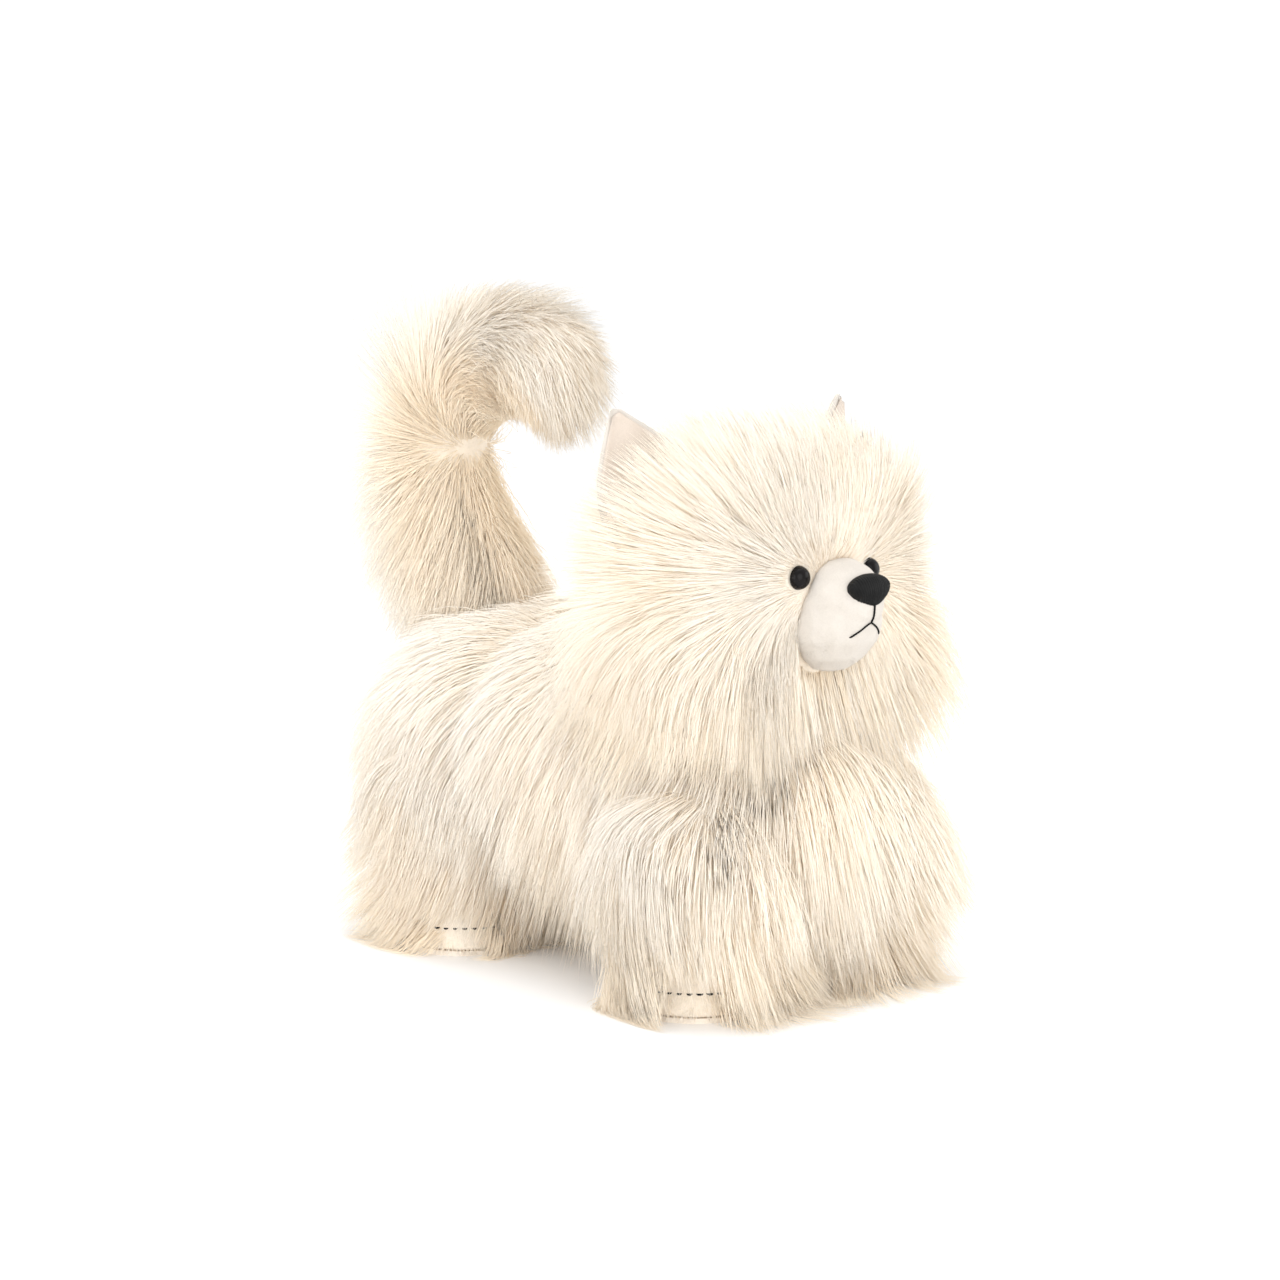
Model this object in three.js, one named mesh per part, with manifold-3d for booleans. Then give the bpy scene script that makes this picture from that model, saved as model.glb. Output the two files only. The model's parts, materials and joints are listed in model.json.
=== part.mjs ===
// A standing plush dog: long-pile fabric covers sewn in panels over fibre stuffing, with a
// short-pile muzzle, an embroidered nose, lock-washer eyes and a curled, cored tail.
// Millimetres, +Z up. The dog looks along -Y and its left side is +X. The origin is on the
// floor, in the middle of the box round the toy. Covers are the fabric's backing: the pile
// stands out from them.

import * as THREE from "three";
import { mergeVertices } from "three/addons/utils/BufferGeometryUtils.js";
import Module from "manifold-3d";

const wasm = await Module();
wasm.setup();

// ---------------------------------------------------------------- driving dimensions

const GAP = 0.4; // between pieces that touch
const FACET = 0.18; // how far a facet may leave the smooth surface when facets are merged
const CLOTH = 2.5; // pile fabric, backing and seam allowance
const VELOUR = 1.6; // short-pile fabric of muzzle and ears
const SHIFT_Y = -22.35; // brings the middle of the toy's length over the origin
const FAR = 400; // past the toy on every side

const TORSO_PARTS = [
  { name: "barrel", centre: [0, 18, 106], radii: [63, 106, 52] },
  { name: "chest", centre: [0, -58, 97], radii: [62, 48, 45] },
  { name: "hips", centre: [0, 88, 106], radii: [67, 60, 52] },
];
const GUSSET_HALF_WIDTH = 24;
const GUSSET_TOP = 84;
const PELLET_BAG = { centre: [0, 10, 76], radii: [32, 52, 16] };

const LEG_X = 52;
const LEG_Y = { front: -76, rear: 84 };
const FOOT_RADIUS = 30;
const ANKLE_RADIUS = 27.5;
const ANKLE_HEIGHT = 36;
const LEG_TOP = 106;
const THIGH_HEIGHT = 80; // where the leg is full again, before it rounds over into the body
const THIGH_ROUND = 10; // below the leg's top
const SOLE_THICKNESS = 2.2;
const INSOLE_THICKNESS = 2;
const TOE_SEAM = { height: 14, radius: 0.7, halfArc: 1.9 }; // radians each side of straight ahead
const TOE_SEAM_STEPS = 14;

const HEAD = { centre: [0, -64, 188], radii: [66, 50, 58] };
const HEAD_SWEEP = [5, 13, 12]; // room under the head for turning and nodding
const HEAD_STRIP_HALF_WIDTH = 21;
const NECK_PIVOT = [0, -50, 134];
const NECK_RADIUS = 30;
const PIVOT_CLEARANCE = 1.6;

const MUZZLE_PARTS = [
  { name: "chin", centre: [0, -107, 173.5], radii: [20.5, 23, 24.5] },
  { name: "snout", centre: [0, -110, 182.5], radii: [17, 24, 17] },
];
const NOSE = { centre: [0, -132.3, 187.4], radii: [12.5, 6, 7.6] };
const PHILTRUM_TOP = 180.5;
const LIP = 171;
const MOUTH_CORNER = { x: 9.5, z: 164.5 };
const MOUTH_THREAD = 0.6;
const EYE = { x: 22.5, z: 193, radius: 5.2, rise: 1.2, stem: 1.9, stemLength: 15 };
const WASHER = { radius: 7, thickness: 1.4, depth: 7 };

const EAR_TIP = [73, -43, 265];
const EAR_OUTER_BASE = [68, -47, 205];
const EAR_INNER_BASE = [27, -66, 240];
const EAR_HEM = 6; // below the base line, where the head cuts the ear off
const EAR_LIFT = 2.2; // clear of the head, so that the ear can flex

const TAIL_PIVOT = [0, 124, 156];
const TAIL_PATH = [
  TAIL_PIVOT, [0, 142, 180], [0, 157, 206], [0, 160, 236],
  [0, 146, 264], [0, 115, 279], [0, 83, 277], [0, 66, 264],
];
const TAIL_STEPS = 18;
const TAIL_RADIUS = 23;
const TAIL_CORE_RADIUS = 2.5;
const TAIL_PLUG_RADIUS = 13;
const TAIL_PLUG_ROOM = 1; // round the plug, so that the tail can swing on it

const IVORY = 0xf3e9dc;
const CREAM = 0xf6f0e6;
const FIBRE = 0xffffff;
const BEIGE = 0xe3cdb8;
const BLACK = 0x0a0a0b;

// ---------------------------------------------------------------- solids and meshes

function solidOf(geometry) {
  const bare = geometry.clone();
  bare.deleteAttribute("normal");
  bare.deleteAttribute("uv");
  const merged = mergeVertices(bare, 1e-4);
  return new wasm.Manifold(
    new wasm.Mesh({
      numProp: 3,
      vertProperties: merged.attributes.position.array,
      triVerts: new Uint32Array(merged.index.array),
    }),
  );
}

function geometryOf(solid) {
  const { numProp, vertProperties, triVerts } = solid.simplify(FACET).getMesh();
  const position = new Float32Array((vertProperties.length / numProp) * 3);
  for (let i = 0; i < position.length / 3; i++)
    position.set(vertProperties.subarray(i * numProp, i * numProp + 3), i * 3);
  const geometry = new THREE.BufferGeometry();
  geometry.setAttribute("position", new THREE.BufferAttribute(position, 3));
  geometry.setIndex(new THREE.BufferAttribute(triVerts, 1));
  geometry.computeVertexNormals();
  return geometry;
}

// Sides round and down an ellipsoid. Inside faces and what fills them share one pattern, so
// that they nest.
const OUTSIDE = [18, 12];
const INSIDE = [14, 8];
const SMALL = [12, 8];

// Grown or shrunk by one distance, or by one distance for each axis.
function ellipsoid({ centre, radii }, grow = 0, sides = grow < 0 ? INSIDE : OUTSIDE) {
  const grown = radii.map((r, i) => r + (Array.isArray(grow) ? grow[i] : grow));
  const geometry = new THREE.SphereGeometry(1, ...sides).rotateX(Math.PI / 2);
  return solidOf(geometry.scale(...grown).translate(...centre));
}

const ball = (centre, radius, sides = SMALL) =>
  ellipsoid({ centre, radii: [radius, radius, radius] }, 0, sides);
const joined = (solids) => solids.reduce((all, next) => all.add(next));
const box = ([x0, y0, z0], [x1, y1, z1]) =>
  solidOf(
    new THREE.BoxGeometry(x1 - x0, y1 - y0, z1 - z0)
      .translate((x0 + x1) / 2, (y0 + y1) / 2, (z0 + z1) / 2),
  );

// A turned solid about a vertical axis, from [radius, height] points.
function turned(points, sides = 16) {
  const profile = points.map(([r, z]) => new THREE.Vector2(r, z));
  return solidOf(new THREE.LatheGeometry(profile, sides).rotateX(Math.PI / 2));
}

const disc = (radius, z0, z1, sides = 16) =>
  turned([[0, z0], [radius, z0], [radius, z1], [0, z1]], sides);

function tube(points, radius, steps, sides = 8) {
  const section = new THREE.Shape().absarc(0, 0, radius, 0, 2 * Math.PI);
  const path = new THREE.CatmullRomCurve3(points.map((p) => new THREE.Vector3(...p)));
  return solidOf(
    new THREE.ExtrudeGeometry(section, {
      steps, extrudePath: path, curveSegments: sides / 2, bevelEnabled: false,
    }),
  );
}

// A tube with closed round ends, radius(distance from start, distance to end) thick.
function tapered(points, radius, steps, sides) {
  const path = new THREE.CatmullRomCurve3(points.map((p) => new THREE.Vector3(...p)));
  const length = path.getLength();
  const across = new THREE.Vector3(1, 0, 0);
  const vertices = [];
  for (let i = 0; i <= steps; i++) {
    const t = (1 - Math.cos((Math.PI * i) / steps)) / 2;
    const centre = path.getPointAt(t);
    const upward = path.getTangentAt(t).cross(across).normalize();
    const r = radius(t * length, (1 - t) * length);
    const ring = i === 0 || i === steps ? 1 : sides;
    for (let k = 0; k < ring; k++) {
      const angle = (2 * Math.PI * k) / sides;
      const point = centre.clone()
        .addScaledVector(across, ring > 1 ? r * Math.cos(angle) : 0)
        .addScaledVector(upward, ring > 1 ? r * Math.sin(angle) : 0);
      vertices.push(...point.toArray());
    }
  }
  const index = [];
  const at = (i, k) => 1 + (i - 1) * sides + (k % sides);
  const last = vertices.length / 3 - 1;
  for (let k = 0; k < sides; k++) {
    index.push(0, at(1, k + 1), at(1, k), last, at(steps - 1, k), at(steps - 1, k + 1));
    for (let i = 1; i < steps - 1; i++) {
      index.push(at(i, k), at(i + 1, k + 1), at(i + 1, k));
      index.push(at(i, k), at(i, k + 1), at(i + 1, k + 1));
    }
  }
  const geometry = new THREE.BufferGeometry();
  geometry.setAttribute("position", new THREE.Float32BufferAttribute(vertices, 3));
  return solidOf(geometry.setIndex(index));
}

const dog = new THREE.Group();
dog.name = "plush_dog";
dog.position.y = SHIFT_Y;

function addPiece(name, solid, color, roughness = 0.9) {
  const material = new THREE.MeshStandardMaterial({ color, roughness, metalness: 0 });
  const mesh = new THREE.Mesh(geometryOf(solid), material);
  mesh.name = name;
  dog.add(mesh);
}

const RIGHT_HALF = box([-FAR, -FAR, -FAR], [-GAP / 2, FAR, FAR]);
const LEFT_HALF = box([GAP / 2, -FAR, -FAR], [FAR, FAR, FAR]);

// ---------------------------------------------------------------- the forms that pieces share

const torsoForm = (grow) => joined(TORSO_PARTS.map((part) => ellipsoid(part, grow)));
const muzzleForm = (grow) =>
  joined(MUZZLE_PARTS.map((part) => ellipsoid(part, grow, INSIDE)));
const noseForm = (grow) => ellipsoid(NOSE, grow, OUTSIDE);

function legForm(x, y, grow, bottom) {
  const points = [
    [0, bottom],
    [FOOT_RADIUS + grow, bottom],
    [FOOT_RADIUS + grow, ANKLE_HEIGHT / 3],
    [ANKLE_RADIUS + grow, ANKLE_HEIGHT],
    [FOOT_RADIUS + grow, THIGH_HEIGHT],
    [FOOT_RADIUS * 0.8 + grow, LEG_TOP - THIGH_ROUND + grow],
    [0, LEG_TOP + grow],
  ];
  return turned(points).translate([x, y, 0]);
}

// The tail's path starts and ends one radius beyond its pivot and its tip, with round ends.
function tailForm(grow) {
  const radius = TAIL_RADIUS + grow;
  const [a, b] = [TAIL_PATH[0], TAIL_PATH[1]].map((p) => new THREE.Vector3(...p));
  const start = a.clone().addScaledVector(b.clone().sub(a).normalize(), -radius);
  const round = (d) => (d < radius ? Math.sqrt(radius ** 2 - (radius - d) ** 2) : radius);
  return tapered(
    [start.toArray(), ...TAIL_PATH],
    (fromStart, toEnd) => Math.min(round(fromStart), round(toEnd)),
    TAIL_STEPS,
    12,
  );
}

const headSweep = ellipsoid(HEAD, HEAD_SWEEP);
const neckRoom = ball(NECK_PIVOT, NECK_RADIUS + PIVOT_CLEARANCE);
const tailRoom = ball(TAIL_PIVOT, TAIL_RADIUS + PIVOT_CLEARANCE);
const legPlaces = Object.entries(LEG_Y).flatMap(([end, y]) => [
  { name: `${end}_right`, x: -LEG_X, y },
  { name: `${end}_left`, x: LEG_X, y },
]);

// ---------------------------------------------------------------- torso

function addTorso() {
  const rooms = joined([headSweep, neckRoom, tailRoom]);
  const legHoles = joined(legPlaces.map(({ x, y }) => legForm(x, y, -CLOTH, 0)));
  const shell = torsoForm(0).subtract(torsoForm(-CLOTH)).subtract(rooms).subtract(legHoles);
  const gusset = (margin) =>
    box(
      [-GUSSET_HALF_WIDTH + margin, -FAR, 0],
      [GUSSET_HALF_WIDTH - margin, FAR, GUSSET_TOP - margin],
    );
  const sides = shell.subtract(gusset(0));
  addPiece("torso_side_right", sides.intersect(RIGHT_HALF), IVORY);
  addPiece("torso_side_left", sides.intersect(LEFT_HALF), IVORY);
  addPiece("belly_gusset", shell.intersect(gusset(GAP)), IVORY);

  // The bag lies on the belly, so the stuffing is left out from under it as well.
  const inside = torsoForm(-CLOTH - GAP).subtract(rooms);
  const [x, y, z] = PELLET_BAG.centre;
  const [rx, ry] = PELLET_BAG.radii;
  const underBag = disc(1, 0, z).scale([rx + GAP, ry + GAP, 1]).translate([x, y, 0]);
  const bagRoom = ellipsoid(PELLET_BAG, GAP).add(underBag);
  addPiece("torso_stuffing", inside.subtract(bagRoom), FIBRE);
  addPiece("pellet_bag", ellipsoid(PELLET_BAG).intersect(torsoForm(-CLOTH - GAP)), CREAM);
}

// ---------------------------------------------------------------- legs and feet

function addLeg({ name, x, y }) {
  const outside = torsoForm(GAP);
  const coverBottom = SOLE_THICKNESS + GAP;
  const insoleTop = coverBottom + INSOLE_THICKNESS;
  const cover = legForm(x, y, 0, coverBottom)
    .subtract(legForm(x, y, -CLOTH, 0))
    .subtract(outside);
  const stuffing = legForm(x, y, -CLOTH - GAP, insoleTop + GAP).subtract(torsoForm(-CLOTH));
  const insideRadius = FOOT_RADIUS - CLOTH - GAP;
  addPiece(`leg_cover_${name}`, cover, IVORY);
  addPiece(`leg_stuffing_${name}`, stuffing, FIBRE);
  addPiece(`sole_${name}`, disc(FOOT_RADIUS, 0, SOLE_THICKNESS).translate([x, y, 0]), CREAM);
  addPiece(
    `insole_${name}`,
    disc(insideRadius, coverBottom, insoleTop).translate([x, y, 0]),
    BEIGE,
  );
  const seamRadius = FOOT_RADIUS + TOE_SEAM.radius + GAP;
  const arc = Array.from({ length: TOE_SEAM_STEPS + 1 }, (_, i) => {
    const angle = ((2 * i) / TOE_SEAM_STEPS - 1) * TOE_SEAM.halfArc;
    return [x + seamRadius * Math.sin(angle), y - seamRadius * Math.cos(angle), TOE_SEAM.height];
  });
  addPiece(`toe_stitching_${name}`, tube(arc, TOE_SEAM.radius, TOE_SEAM_STEPS, 6), BLACK);
}

// ---------------------------------------------------------------- head and neck

// Where the head's surface carries an eye, and the way that it faces there.
function eyeSeat(side) {
  const [cx, cy, cz] = HEAD.centre;
  const [rx, ry, rz] = HEAD.radii;
  const dx = side * EYE.x - cx;
  const dz = EYE.z - cz;
  const dy = -ry * Math.sqrt(1 - (dx / rx) ** 2 - (dz / rz) ** 2);
  const out = new THREE.Vector3(dx / rx ** 2, dy / ry ** 2, dz / rz ** 2).normalize();
  return { at: [cx + dx, cy + dy, cz + dz], out };
}

// Stands a solid made round +Z on a seat, its +Z pointing out of the head.
function stand(solid, { at, out }) {
  const turn = new THREE.Quaternion().setFromUnitVectors(new THREE.Vector3(0, 0, 1), out);
  return solid.transform(new THREE.Matrix4().compose(
    new THREE.Vector3(...at), turn, new THREE.Vector3(1, 1, 1),
  ).elements);
}

function addEye(name, side) {
  const seat = eyeSeat(side);
  const dome = stand(
    ball([0, 0, EYE.rise], EYE.radius, INSIDE),
    seat,
  ).subtract(ellipsoid(HEAD, GAP));
  const stem = stand(disc(EYE.stem, -EYE.stemLength, EYE.radius / 2, 10), seat);
  addPiece(`eye_${name}`, dome.add(stem), BLACK, 0.1);
  const back = -WASHER.depth - WASHER.thickness;
  const ring = disc(WASHER.radius, back, -WASHER.depth)
    .subtract(disc(EYE.stem + GAP, -EYE.stemLength, 0, 10));
  addPiece(`eye_washer_${name}`, stand(ring, seat), FIBRE, 0.5);
}

function addHead() {
  const seats = [eyeSeat(-1), eyeSeat(1)];
  const stemHoles = joined(
    seats.map((seat) => stand(
      disc(EYE.stem + GAP, -EYE.stemLength - GAP, EYE.radius, 10), seat,
    )),
  );
  const washerRooms = joined(
    seats.map((seat) => stand(
      disc(WASHER.radius + GAP, -WASHER.depth - WASHER.thickness - GAP, EYE.radius), seat,
    )),
  );
  const shell = ellipsoid(HEAD).subtract(ellipsoid(HEAD, -CLOTH))
    .subtract(neckRoom).subtract(muzzleForm(-VELOUR)).subtract(stemHoles);
  const strip = (margin) =>
    box(
      [-HEAD_STRIP_HALF_WIDTH + margin, -FAR, HEAD.centre[2] + margin],
      [HEAD_STRIP_HALF_WIDTH - margin, FAR, FAR],
    );
  const sides = shell.subtract(strip(0));
  addPiece("head_side_right", sides.intersect(RIGHT_HALF), IVORY);
  addPiece("head_side_left", sides.intersect(LEFT_HALF), IVORY);
  addPiece("head_strip", shell.intersect(strip(GAP)), IVORY);
  addPiece(
    "head_stuffing",
    ellipsoid(HEAD, -CLOTH - GAP).subtract(neckRoom).subtract(stemHoles).subtract(washerRooms),
    FIBRE,
  );
}

function addMuzzle() {
  const cover = muzzleForm(0).subtract(muzzleForm(-VELOUR)).subtract(ellipsoid(HEAD, GAP));
  addPiece("muzzle_cover", cover, CREAM);
  addPiece(
    "muzzle_stuffing",
    muzzleForm(-VELOUR - GAP).subtract(ellipsoid(HEAD, -CLOTH)),
    FIBRE,
  );
  addPiece("nose", noseForm(0).subtract(muzzleForm(GAP)), BLACK, 0.7);

  const { x: cornerX, z: cornerZ } = MOUTH_CORNER;
  const cheekZ = cornerZ + 0.6 * (LIP - cornerZ);
  const strokes = [
    [[0, PHILTRUM_TOP], [0, (PHILTRUM_TOP + LIP) / 2], [0, LIP]],
    [
      [-cornerX, cornerZ], [-cornerX / 2, cheekZ], [0, LIP],
      [cornerX / 2, cheekZ], [cornerX, cornerZ],
    ],
  ];
  const lift = MOUTH_THREAD + GAP;
  const onMuzzle = ([x, z]) => {
    const fronts = MUZZLE_PARTS.map(({ centre: [cx, cy, cz], radii: [rx, ry, rz] }) => {
      const left = 1 - ((x - cx) / (rx + lift)) ** 2 - ((z - cz) / (rz + lift)) ** 2;
      return left > 0 ? cy - (ry + lift) * Math.sqrt(left) : Infinity;
    });
    return [x, Math.min(...fronts), z];
  };
  const threads = strokes.map((stroke) => tube(stroke.map(onMuzzle), MOUTH_THREAD, 6, 6));
  addPiece(
    "mouth_stitching",
    joined(threads).subtract(muzzleForm(GAP)).subtract(noseForm(GAP)),
    BLACK,
  );
}

// ---------------------------------------------------------------- ears

function addEar(name, side) {
  const mirror = ([x, y, z]) => new THREE.Vector3(side * x, y, z);
  const [tip, outer, inner] = [EAR_TIP, EAR_OUTER_BASE, EAR_INNER_BASE].map(mirror);
  const along = inner.clone().sub(outer).normalize();
  const toTip = tip.clone().sub(outer);
  const facing = along.clone().cross(toTip).normalize();
  if (facing.y > 0) facing.negate();
  const up = facing.clone().cross(along).normalize();
  if (up.dot(toTip) < 0) up.negate();
  const place = new THREE.Matrix4().makeBasis(along, up, along.clone().cross(up));
  place.setPosition(outer);

  const width = outer.distanceTo(inner);
  const tipX = toTip.dot(along);
  const tipY = toTip.dot(up);
  const outline = new THREE.Shape()
    .moveTo(-2, -EAR_HEM)
    .lineTo(width, -EAR_HEM)
    .quadraticCurveTo(width * 0.72, tipY * 0.62, tipX + 4, tipY - 2)
    .quadraticCurveTo(tipX, tipY + 2, tipX - 3, tipY - 4)
    .quadraticCurveTo(-9, tipY * 0.45, -2, -EAR_HEM);
  const plate = (near, far) =>
    solidOf(
      new THREE.ExtrudeGeometry(outline, {
        depth: far - near, bevelEnabled: false, curveSegments: 6,
      }).translate(0, 0, near),
    ).transform(place.elements).subtract(ellipsoid(HEAD, EAR_LIFT));
  const layers = [plate(0, VELOUR), plate(-GAP - VELOUR, -GAP)];
  if (place.elements[9] > 0) layers.reverse(); // the plates' own depth runs backwards
  addPiece(`ear_lining_${name}`, layers[0], BEIGE);
  addPiece(`ear_back_${name}`, layers[1], CREAM);
}

// ---------------------------------------------------------------- tail

function addTail() {
  const down = new THREE.Vector3(...TAIL_PATH[1])
    .sub(new THREE.Vector3(...TAIL_PIVOT)).negate().normalize();
  const roomRadius = TAIL_PLUG_RADIUS + TAIL_PLUG_ROOM;
  const mouth = stand(disc(roomRadius, 0, FAR), { at: TAIL_PIVOT, out: down })
    .add(ball(TAIL_PIVOT, roomRadius));
  const corePath = TAIL_PATH.slice(1, -1);
  const core = tube(corePath, TAIL_CORE_RADIUS, 12, 6);
  const coreRoom = tube([TAIL_PIVOT, ...corePath], TAIL_CORE_RADIUS + 4 * GAP, 12, 6);
  addPiece("tail_cover", tailForm(0).subtract(tailForm(-CLOTH)).subtract(mouth), IVORY);
  addPiece(
    "tail_stuffing",
    tailForm(-CLOTH - GAP).subtract(mouth).subtract(coreRoom),
    FIBRE,
  );
  addPiece("tail_core", core, CREAM, 0.5);
  addPiece("tail_plug", ball(TAIL_PIVOT, TAIL_PLUG_RADIUS), FIBRE);
}

addTorso();
legPlaces.forEach(addLeg);
addPiece("neck_plug", ball(NECK_PIVOT, NECK_RADIUS), FIBRE);
addHead();
addMuzzle();
for (const [name, side] of [["right", -1], ["left", 1]]) {
  addEye(name, side);
  addEar(name, side);
}
addTail();

export default dog;
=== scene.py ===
"""The plush dog's looks: pile, velour, embroidery and eyes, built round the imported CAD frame.

Lengths in the helpers are millimetres in the row frame, and become metres when a mesh is made.
The dog looks along -Y and its left side is +X.
"""

import json
import math

import bmesh
import bpy
import numpy as np
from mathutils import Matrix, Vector, kdtree


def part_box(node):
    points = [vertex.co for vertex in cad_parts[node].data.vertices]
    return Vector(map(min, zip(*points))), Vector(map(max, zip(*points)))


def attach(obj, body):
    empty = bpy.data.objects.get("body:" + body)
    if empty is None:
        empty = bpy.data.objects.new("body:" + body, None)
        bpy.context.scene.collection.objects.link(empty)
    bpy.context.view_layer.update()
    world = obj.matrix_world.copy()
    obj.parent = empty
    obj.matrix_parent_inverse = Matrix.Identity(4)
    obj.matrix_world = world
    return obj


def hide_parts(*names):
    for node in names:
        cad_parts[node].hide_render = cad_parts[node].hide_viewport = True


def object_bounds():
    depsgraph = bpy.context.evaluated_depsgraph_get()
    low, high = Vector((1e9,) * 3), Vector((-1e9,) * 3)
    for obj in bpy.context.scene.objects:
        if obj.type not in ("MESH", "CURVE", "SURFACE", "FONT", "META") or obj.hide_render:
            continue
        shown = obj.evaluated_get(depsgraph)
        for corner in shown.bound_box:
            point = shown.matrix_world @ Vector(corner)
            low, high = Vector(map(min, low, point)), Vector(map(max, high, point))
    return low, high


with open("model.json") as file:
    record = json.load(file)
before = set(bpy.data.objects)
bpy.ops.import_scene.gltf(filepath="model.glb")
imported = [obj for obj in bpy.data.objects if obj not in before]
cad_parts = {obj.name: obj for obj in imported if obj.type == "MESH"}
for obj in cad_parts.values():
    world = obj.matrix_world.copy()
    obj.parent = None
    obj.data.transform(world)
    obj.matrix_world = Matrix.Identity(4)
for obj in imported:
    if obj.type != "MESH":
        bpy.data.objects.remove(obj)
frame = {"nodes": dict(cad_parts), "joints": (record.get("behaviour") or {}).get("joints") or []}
cad_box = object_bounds()

MM = 0.001
UP = np.array([0.0, 0.0, 1.0])
LEGS = ("front_right", "front_left", "rear_right", "rear_left")


# ------------------------ the frame, in millimetres

def box_mm(*nodes):
    """Lowest and highest corner of several CAD nodes together."""
    corners = [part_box(n) for n in nodes]
    low = np.min([c[0] for c in corners], axis=0) / MM
    high = np.max([c[1] for c in corners], axis=0) / MM
    return low, high


def middle(*nodes):
    low, high = box_mm(*nodes)
    return (low + high) / 2


HEAD_NODES = ("head_side_right", "head_side_left", "head_strip")
HEAD_LOW, HEAD_HIGH = box_mm("head_stuffing")
HEAD_CENTRE = (HEAD_LOW + HEAD_HIGH) / 2
HEAD_COVER = 3.0  # from the stuffing to the outside of the cover
HEAD_RADII = (HEAD_HIGH - HEAD_LOW) / 2 + HEAD_COVER
MUZZLE_LOW, MUZZLE_HIGH = box_mm("muzzle_cover")
MUZZLE_CENTRE = (MUZZLE_LOW + MUZZLE_HIGH) / 2
NOSE_LOW, NOSE_HIGH = box_mm("nose")
NOSE_CENTRE = (NOSE_LOW + NOSE_HIGH) / 2
EYES = {"right": middle("eye_washer_right"), "left": middle("eye_washer_left")}
TAIL_LOW, TAIL_HIGH = box_mm("tail_cover")
TORSO_LOW, TORSO_HIGH = box_mm("torso_side_right", "torso_side_left", "belly_gusset")
LEG_AT = {leg: middle(f"sole_{leg}") for leg in LEGS}
SOLE_LOW, SOLE_HIGH = box_mm("sole_front_right")
FOOT_RADIUS = (SOLE_HIGH[0] - SOLE_LOW[0]) / 2
SEAM_HEIGHT = middle("toe_stitching_front_right")[2]
# The point between the eyes that the pile of the head is combed away from.
FACE = np.array([0.0, HEAD_LOW[1] - 2, MUZZLE_CENTRE[2] + 6])


# ------------------------ small vector helpers

def unit(v):
    """Vectors of length one in the same directions."""
    return v / np.maximum(np.linalg.norm(v, axis=-1, keepdims=True), 1e-9)


def dot(a, b):
    """Products of vectors row by row, as a column."""
    return np.sum(a * b, axis=-1, keepdims=True)


def tangent(v, normals):
    """The part of v that lies along the surface."""
    return unit(v - dot(v, normals) * normals)


def smooth(x, low, high):
    """0 below low, 1 above high, and an S curve between them."""
    t = np.clip((x - low) / (high - low), 0, 1)
    return t * t * (3 - 2 * t)


WOBBLE_WAVES = 6


def wobble(points, size, seed):
    """Smooth vector noise of about -1 to 1 that changes over size millimetres."""
    rng = np.random.default_rng(seed)
    total = np.zeros_like(points)
    for _ in range(WOBBLE_WAVES):
        waves = rng.normal(size=(3, 3)) * (2.4 / size)
        total += np.sin(points @ waves.T + rng.uniform(0, 2 * math.pi, 3))
    return total / 3


# ------------------------ materials

# The Mix node's sockets for colours.
MIX_FACTOR, MIX_A, MIX_B, MIX_RESULT = 0, 6, 7, 2
BUMP_DISTANCE = 0.0004  # metres


def principled(name):
    """A new material with its node tree and its shader."""
    material = bpy.data.materials.new(name)
    material.use_nodes = True
    nodes, links = material.node_tree.nodes, material.node_tree.links
    return material, nodes, links, nodes["Principled BSDF"]


def ramp(nodes, links, factor, stops):
    """A colour ramp fed by factor, with stops of (place, colour)."""
    node = nodes.new("ShaderNodeValToRGB")
    elements = node.color_ramp.elements
    elements[0].position, elements[0].color = stops[0][0], (*stops[0][1], 1)
    elements[1].position, elements[1].color = stops[-1][0], (*stops[-1][1], 1)
    for place, colour in stops[1:-1]:
        elements.new(place).color = (*colour, 1)
    links.new(factor, node.inputs["Fac"])
    return node.outputs["Color"]


def mixed(nodes, links, factor, a, b, blend="MIX"):
    """Two colours mixed by factor, where each may be a socket or a value."""
    node = nodes.new("ShaderNodeMix")
    node.data_type = "RGBA"
    node.blend_type = blend
    for socket, value in ((MIX_FACTOR, factor), (MIX_A, a), (MIX_B, b)):
        if isinstance(value, bpy.types.NodeSocket):
            links.new(value, node.inputs[socket])
        else:
            node.inputs[socket].default_value = value
    return node.outputs[MIX_RESULT]


def pile_material(name, root, pale, warm, roughness=0.6, sheen=0.2):
    """Pile colour from the strand's own UVs: U is how warm a strand is, V runs root to tip."""
    material, nodes, links, shader = principled(name)
    uv = nodes.new("ShaderNodeUVMap")
    uv.uv_map = "OFBake"
    split = nodes.new("ShaderNodeSeparateXYZ")
    links.new(uv.outputs["UV"], split.inputs[0])
    tone = ramp(nodes, links, split.outputs["X"], [(0.15, pale), (1.0, warm)])
    # The root colour, darker towards the skin, is painted shade deep in the pile.
    along = ramp(nodes, links, split.outputs["Y"],
                 [(0.0, (0, 0, 0)), (0.45, (0.75,) * 3), (1.0, (1, 1, 1))])
    shade = mixed(nodes, links, along, (*root, 1), tone)
    streak = nodes.new("ShaderNodeTexNoise")
    streak.inputs["Scale"].default_value = 60
    links.new(uv.outputs["UV"], streak.inputs["Vector"])
    fine = ramp(nodes, links, streak.outputs["Fac"],
                [(0.35, (0.93, 0.92, 0.90)), (0.65, (1, 1, 1))])
    links.new(mixed(nodes, links, 1.0, shade, fine, "MULTIPLY"), shader.inputs["Base Color"])
    shader.inputs["Roughness"].default_value = roughness
    shader.inputs["Sheen Weight"].default_value = sheen
    shader.inputs["Sheen Roughness"].default_value = 0.5
    shader.inputs["Specular IOR Level"].default_value = 0.3
    return material


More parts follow.
